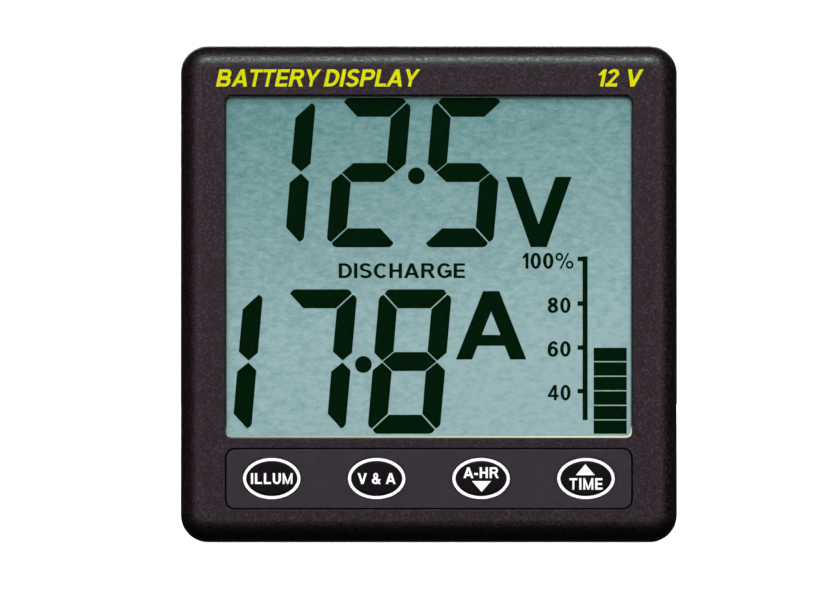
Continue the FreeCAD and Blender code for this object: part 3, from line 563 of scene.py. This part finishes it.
# Colour, roughness, scale of the grain and its depth. Where they differ from the usual: contrast,
# specular, colour of the flecks, tint of the shine and how much the gloss varies.
PLASTICS = {
    "case_plastic": ((0.0008, 0.0006, 0.0007), 0.41, 2400.0, 0.055, 0.9, 0.20,
                     (0.028, 0.012, 0.019), (1.0, 0.70, 0.88), 0.12),
    "rear_plastic": ((0.024, 0.023, 0.025), 0.48, 2600.0, 0.03, 0.45, 0.35),
    # painted shade: the near-black finish of the ring that blackens the keypad strip's groove
    "groove_painted_shade_black": ((0.0006, 0.0006, 0.0007), 0.7, 1500.0, 0.01, 0.4, 0.0),
    "polariser_film": ((0.20, 0.21, 0.21), 0.25, 900.0, 0.005, 0.1),
    "light_guide_acrylic": ((0.75, 0.80, 0.80), 0.15, 600.0, 0.01, 0.05),
    "reflector_white": ((0.80, 0.80, 0.79), 0.5, 1200.0, 0.01, 0.05),
    "adhesive_tape": ((0.02, 0.02, 0.02), 0.7, 1500.0, 0.02, 0.3),
    "foam": ((0.012, 0.012, 0.012), 0.9, 1800.0, 0.1, 0.5),
    "carrier_plastic": ((0.72, 0.72, 0.70), 0.45, 900.0, 0.02, 0.06),
    "lamp_body": ((0.65, 0.70, 0.25), 0.2, 700.0, 0.01, 0.08),
    "keypad_film": ((0.008, 0.005, 0.008), 0.38, 1300.0, 0.008, 0.25, 0.22,
                    None, (1.0, 0.80, 0.98)),
    "key_rubber": ((0.0025, 0.0015, 0.0025), 0.46, 1600.0, 0.012, 0.25, 0.04,
                   None, (1.0, 0.75, 0.95)),
    "switch_button": ((0.03, 0.03, 0.03), 0.5, 1200.0, 0.01),
    "switch_body": ((0.10, 0.10, 0.11), 0.5, 1200.0, 0.02),
    "chip_package": ((0.022, 0.022, 0.025), 0.55, 1600.0, 0.02, 0.3),
    "capacitor_sleeve": ((0.015, 0.022, 0.075), 0.3, 800.0, 0.01, 0.12),
    "chip_part": ((0.42, 0.33, 0.22), 0.5, 1500.0, 0.02, 0.2),
    "header_plastic": ((0.78, 0.75, 0.66), 0.4, 900.0, 0.02, 0.08),
    "seal_rubber": ((0.014, 0.014, 0.015), 0.75, 1500.0, 0.05, 0.4, 0.3),
}
METALS = {     # colour, roughness and stretch of the grain; for the leads its scale too
    "stainless": ((0.68, 0.68, 0.67), 0.40, (0.05, 1, 1)),
    "zinc_steel": ((0.62, 0.63, 0.64), 0.28, (1, 0.2, 1)),
    "tinned_lead": ((0.70, 0.70, 0.68), 0.3, (1, 1, 1), 1400.0),
    "can_metal": ((0.76, 0.76, 0.75), 0.25, (1, 0.1, 1)),
    "pin_metal": ((0.85, 0.68, 0.32), 0.25, (1, 0.1, 1)),
    "nut_brass": ((0.74, 0.70, 0.60), 0.3, (1, 0.15, 1)),
}
finishes = {name: grained_plastic(name, *row) for name, row in PLASTICS.items()}
finishes.update({name: brushed_metal(name, *row) for name, row in METALS.items()})
finishes["clear_acrylic"] = clear_material("clear_acrylic", (0.004, 0.006, 0.006), 0.05, 0.06)
finishes["display_glass"] = clear_material("display_glass", (0.5, 0.6, 0.6), 0.35, 0.05)
finishes["display_face"] = screen_material()
finishes["contact_elastomer"] = elastomer_material()
finishes["board_laminate"] = board_material()
for part in frame["record"]["subparts"]:
    cad_node = frame["nodes"][part["node"]]
    cad_node.data.materials.clear()
    cad_node.data.materials.append(finishes[part["material_slot"]])
frame["nodes"]["rear_case"].data.materials[0] = finishes["rear_plastic"]

legend_yellow = ink("legend_yellow", (0.53, 0.53, 0.0003), 0.6, 0.04, 0.01)
legend_white = ink("legend_white", (0.86, 0.85, 0.85), 0.6, 0.04, 0.01)
segment_black = ink("segment_black", (0.0006, 0.0100, 0.0022), 0.6, 0.3, 0.0)
window_edge_painted_light = painted_edge_light_material()

# ================================================================ printed pieces

INK = 0.03                      # thickness of a printed legend
SEGMENT = 0.02                  # thickness of a segment of the screen
TITLE_ROW = (45.9, 49.7, 0.21)  # its foot, its head and its lean
ARROW = (2.1, 1.2)              # half the width and half the height of an arrowhead

raised_print("screen_segments", screen_contents(), screen_face, SEGMENT, "housing", segment_black)
raised_print("title_legend", lettering("BATTERY DISPLAY", -47.1, -1.9, *TITLE_ROW), front_face, INK,
             "housing", legend_yellow)
raised_print("rating_legend", lettering("12 V", 36.9, 47.5, *TITLE_ROW), front_face, INK,
             "housing", legend_yellow)


def arrowhead(x, z, up):
    half_width, half_height = ARROW
    tip = half_height if up else -half_height
    return [[(x - half_width, z - tip), (x + half_width, z - tip), (x, z + tip)]]


KEYS = {
    "illum": lettering("ILLUM", -4.6, 4.6, -1.2, 1.2, spacing=0.20),
    "volts_amps": lettering("V & A", -4.2, 4.2, -1.2, 1.2, spacing=0.17),
    "amp_hours": (lettering("A-HR", -3.9, 3.9, 0.1, 2.5, spacing=0.19)
                  + arrowhead(0.1, -1.75, False)),
    "time": (lettering("TIME", -3.65, 3.65, -2.45, 0.08, spacing=0.20)
             + arrowhead(-0.15, 1.95, True)),
}
RING_OUTSIDE = (6.36, 4.55)     # half its width and half its height
RING_WIDTH = (0.72, 0.64)       # at its sides, and above and below
RING_INK = 0.05
RIM_STANDS = 0.2                # how far a key's rim stands in front of the strip
rim_face = strip_face - RIM_STANDS * MM
for key, legend in KEYS.items():
    body = "key_" + key
    low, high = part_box(body)
    x, z = (low.x + high.x) / 2 / MM, (low.z + high.z) / 2 / MM
    oval = ring(x, z, *RING_OUTSIDE, side=RING_WIDTH[0], arm=RING_WIDTH[1])
    raised_print("ring_" + key, oval, rim_face, RING_INK, body, legend_white)
    raised_print("legend_" + key, moved(legend, x, z), low.y, INK, body, legend_white)

# ================================================================ window edge ring and strip groove ring: painted highlight and painted shade


def rounded_outline(low, high, inset, radius, steps=10):
    """Points round a rectangle with rounded corners, inset from two opposite corners of a box."""
    x0, x1 = low.x + inset + radius, high.x - inset - radius
    z0, z1 = low.z + inset + radius, high.z - inset - radius
    points = []
    for x, z, quarter in ((x1, z1, 0), (x0, z1, 1), (x0, z0, 2), (x1, z0, 3)):
        for n in range(steps + 1):
            turn = math.radians(90 * (quarter + n / steps))
            points.append((x + radius * math.cos(turn), z + radius * math.sin(turn)))
    return points


def frame_round(name, low, high, section, corner, material):
    """A closed frame round a rounded rectangle; its section is insets and depths."""
    verts = []
    for inset, depth in section:
        outline = rounded_outline(low, high, inset, corner - inset)
        verts += [(x, low.y + depth, z) for x, z in outline]
    rings = len(section)
    faces = rings_to_faces(rings, len(verts) // rings, True)
    add_piece(name, verts, faces, material, "housing")


def window_ring_painted_light():
    """A thin bevel ring round the front of the window, which carries a painted highlight along its
    bottom and painted shade along its top.
    """
    low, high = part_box("display_window")
    sides, below, above = 1.65 * MM, 1.45 * MM, 1.55 * MM      # from the flange to the face
    low = Vector((low.x + sides, low.y, low.z + below))
    high = Vector((high.x - sides, high.y, high.z - above))
    bevel, drop, skin = 0.30 * MM, 0.08 * MM, 0.02 * MM
    section = ((0, drop), (bevel, 0), (bevel, -skin), (0, drop - skin))
    frame_round("window_edge_painted_light", low, high, section, 1.4 * MM, window_edge_painted_light)


def strip_groove_painted_shade():
    """A thin black ring laid in the groove round the keypad strip: painted shade that blackens the
    groove.
    """
    low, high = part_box("keypad_strip")
    groove, bite, front, back = 0.28 * MM, 0.06 * MM, 0.04 * MM, 0.35 * MM
    section = ((-groove, front), (bite, front), (bite, back), (-groove, back))
    frame_round("strip_groove_painted_shade", low, high, section, 1.9 * MM, finishes["groove_painted_shade_black"])


window_ring_painted_light()
strip_groove_painted_shade()

# ================================================================ threaded studs

THREAD_RADIUS = 2.0 * MM
THREAD_PITCH = 0.7 * MM
THREAD_DEPTH = 0.40 * MM
FLANK_SLOPE = 2.6          # thread depths that a flank rises per turn
ROOT_DROP = 0.3            # how far the flanks' lines start below the root, which makes it flat
HEAD_DEPTH = 2.8 * MM
HEAD_EDGE = 0.25 * MM      # the chamfer on the head's corners
TIP_SHARE = 0.8            # of the thread's radius, at the tapered end
HEAD_CORNERS = 6
ROUND = 36                 # points round the thread
STEPS_PER_TURN = 8         # rows of points along one turn of it


def thread_radius(turns):
    """The radius at a place along a thread: a flat root, two flanks and a narrow crest."""
    phase = turns % 1.0
    rise = min(1.0, max(0.0, (0.5 - abs(phase - 0.5)) * FLANK_SLOPE - ROOT_DROP))
    return THREAD_RADIUS - THREAD_DEPTH * (1 - rise)


def threaded_stud(side, material):
    """A hexagon-headed machine screw with a rolled thread, in place of the plain shank."""
    name = "stud_" + side
    low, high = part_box(name)
    cx, cz = (low.x + high.x) / 2, (low.z + high.z) / 2
    start = low.y + HEAD_DEPTH / 2
    length = high.y - start
    rows = int(length / THREAD_PITCH * STEPS_PER_TURN)
    verts = [(cx, start, cz)]
    for row in range(rows + 1):
        y = start + length * row / rows
        from_end = (rows - row) * length / rows
        for n in range(ROUND):
            turn = 2 * math.pi * n / ROUND
            radius = min(thread_radius((y - start) / THREAD_PITCH - n / ROUND),
                         THREAD_RADIUS * TIP_SHARE + from_end)
            verts.append((cx + radius * math.cos(turn), y, cz + radius * math.sin(turn)))
    verts.append((cx, high.y, cz))
    faces = [tuple(i + 1 for i in face) for face in rings_to_faces(rows + 1, ROUND)]
    last = len(verts) - 1
    faces += [(0, 1 + (n + 1) % ROUND, 1 + n) for n in range(ROUND)]
    faces += [(last, last - ROUND + n, last - ROUND + (n + 1) % ROUND) for n in range(ROUND)]
    base = len(verts)
    reach = (high.z - low.z) / 2
    for y, shrink in ((low.y, HEAD_EDGE), (low.y + HEAD_EDGE, 0), (low.y + HEAD_DEPTH, 0)):
        for n in range(HEAD_CORNERS):
            turn = math.radians(90 + 360 / HEAD_CORNERS * n)
            verts.append((cx + (reach - shrink) * math.cos(turn), y,
                          cz + (reach - shrink) * math.sin(turn)))
    faces += [tuple(base + i for i in face) for face in rings_to_faces(3, HEAD_CORNERS)]
    outer = tuple(range(base, base + HEAD_CORNERS))
    faces += [outer[::-1], tuple(n + 2 * HEAD_CORNERS for n in outer)]
    piece = add_piece("threaded_" + name, verts, faces, material, "housing")
    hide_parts(name)


for side in ("left", "right"):
    threaded_stud(side, finishes["stainless"])

# ================================================================ stage, lights, camera

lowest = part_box("front_case")[0].z - 0.1 * MM     # a hair below the case, so they share no plane


def stage_material():
    """Matt white with a glow of its own that grows outwards, so that it stays pale all round."""
    material, tree, shader = new_material("pale_stage")
    grain = noise(tree, coordinates(tree), 60.0, 3.0)
    feed(tree, shader, "Base Color", blend(tree, grain, (0.86, 0.86, 0.86), (0.90, 0.90, 0.90)))
    shader.inputs["Roughness"].default_value = 0.9
    shader.inputs["Specular IOR Level"].default_value = 0.0
    shader.inputs["Emission Color"].default_value = (1, 1, 1, 1)
    reach = tree.nodes.new("ShaderNodeVectorMath")
    reach.operation = "LENGTH"
    tree.links.new(coordinates(tree), reach.inputs[0])
    feed(tree, shader, "Emission Strength",
         spread(tree, reach.outputs["Value"], 0.6, 3.0, 0.72, 1.0))
    return material


def round_stage():
    """A round floor that curves up into a wall on every side."""
    floor_radius, curve, wall, sides, steps = 3.2, 1.2, 6.0, 64, 10
    profile = [(0.4, 0.0), (1.6, 0.0), (floor_radius, 0.0)]
    for n in range(1, steps + 1):
        turn = math.radians(90 * n / steps)
        profile.append((floor_radius + curve * math.sin(turn), curve - curve * math.cos(turn)))
    profile.append((floor_radius + curve, wall))
    verts = [(0, 0, lowest)]
    for radius, height in profile:
        for n in range(sides):
            turn = 2 * math.pi * n / sides
            verts.append((radius * math.cos(turn), radius * math.sin(turn), lowest + height))
    faces = [(0, 1 + n, 1 + (n + 1) % sides) for n in range(sides)]
    faces += [tuple(i + 1 for i in reversed(face)) for face in rings_to_faces(len(profile), sides)]
    made = add_object("pale_stage", verts, faces, stage_material(), smooth=True)
    made.visible_glossy = False
    made.visible_diffuse = False


round_stage()


def softbox(name, location, width, height, power, colour=(1, 1, 1), diffuse=True, glossy=True):
    """A rectangular light that faces the object; diffuse and glossy say which light it gives."""
    light = bpy.data.lights.new(name, "AREA")
    light.shape = "RECTANGLE"
    light.size = width
    light.size_y = height
    light.energy = power
    light.color = colour
    made = bpy.data.objects.new(name, light)
    bpy.context.scene.collection.objects.link(made)
    made.location = location
    made.rotation_euler = (-Vector(location)).to_track_quat("-Z", "Y").to_euler()
    made.visible_camera = False
    made.visible_diffuse = diffuse
    made.visible_glossy = glossy


softbox("front_light", (0, -2.6, 0.55), 1.2, 0.8, 77, glossy=False)
softbox("left_box", (-1.05, -2.35, 0.11), 1.6, 0.30, 19, diffuse=False)
softbox("right_box", (1.05, -2.35, 0.11), 1.6, 0.30, 19, diffuse=False)
softbox("overhead_light", (0, -1.38, 1.16), 2.4, 0.30, 16, (0.95, 1.0, 0.99), glossy=False)
softbox("edge_sheen", (0, -1.27, 1.28), 1.4, 0.14, 100, (0.62, 1.0, 0.80), diffuse=False)
softbox("rear_box", (0, 2.6, 0.70), 2.2, 1.4, 60)
softbox("rear_left_box", (-1.8, 1.9, 0.80), 1.4, 1.6, 45, glossy=False)
softbox("rear_right_box", (1.8, 1.9, 0.80), 1.4, 1.6, 45, glossy=False)

world = bpy.data.worlds.new("studio")
world.use_nodes = True
background = world.node_tree.nodes["Background"].inputs
background["Color"].default_value = (0.9, 0.95, 1.0, 1)
background["Strength"].default_value = 0.04
bpy.context.scene.world = world
bpy.context.scene.view_settings.view_transform = "Standard"

VIEW_WIDTH = 185.8 * MM     # at the front face
VIEW_CENTRE = (-1.96 * MM, -1.32 * MM)
camera_data = bpy.data.cameras.new("camera")
camera_data.lens = 400
camera_data.sensor_width = 36
distance = VIEW_WIDTH * camera_data.lens / camera_data.sensor_width
camera = bpy.data.objects.new("camera", camera_data)
camera.location = (VIEW_CENTRE[0], front_face - distance, VIEW_CENTRE[1])
camera.rotation_euler = (math.radians(90), 0, 0)
bpy.context.scene.collection.objects.link(camera)
bpy.context.scene.camera = camera
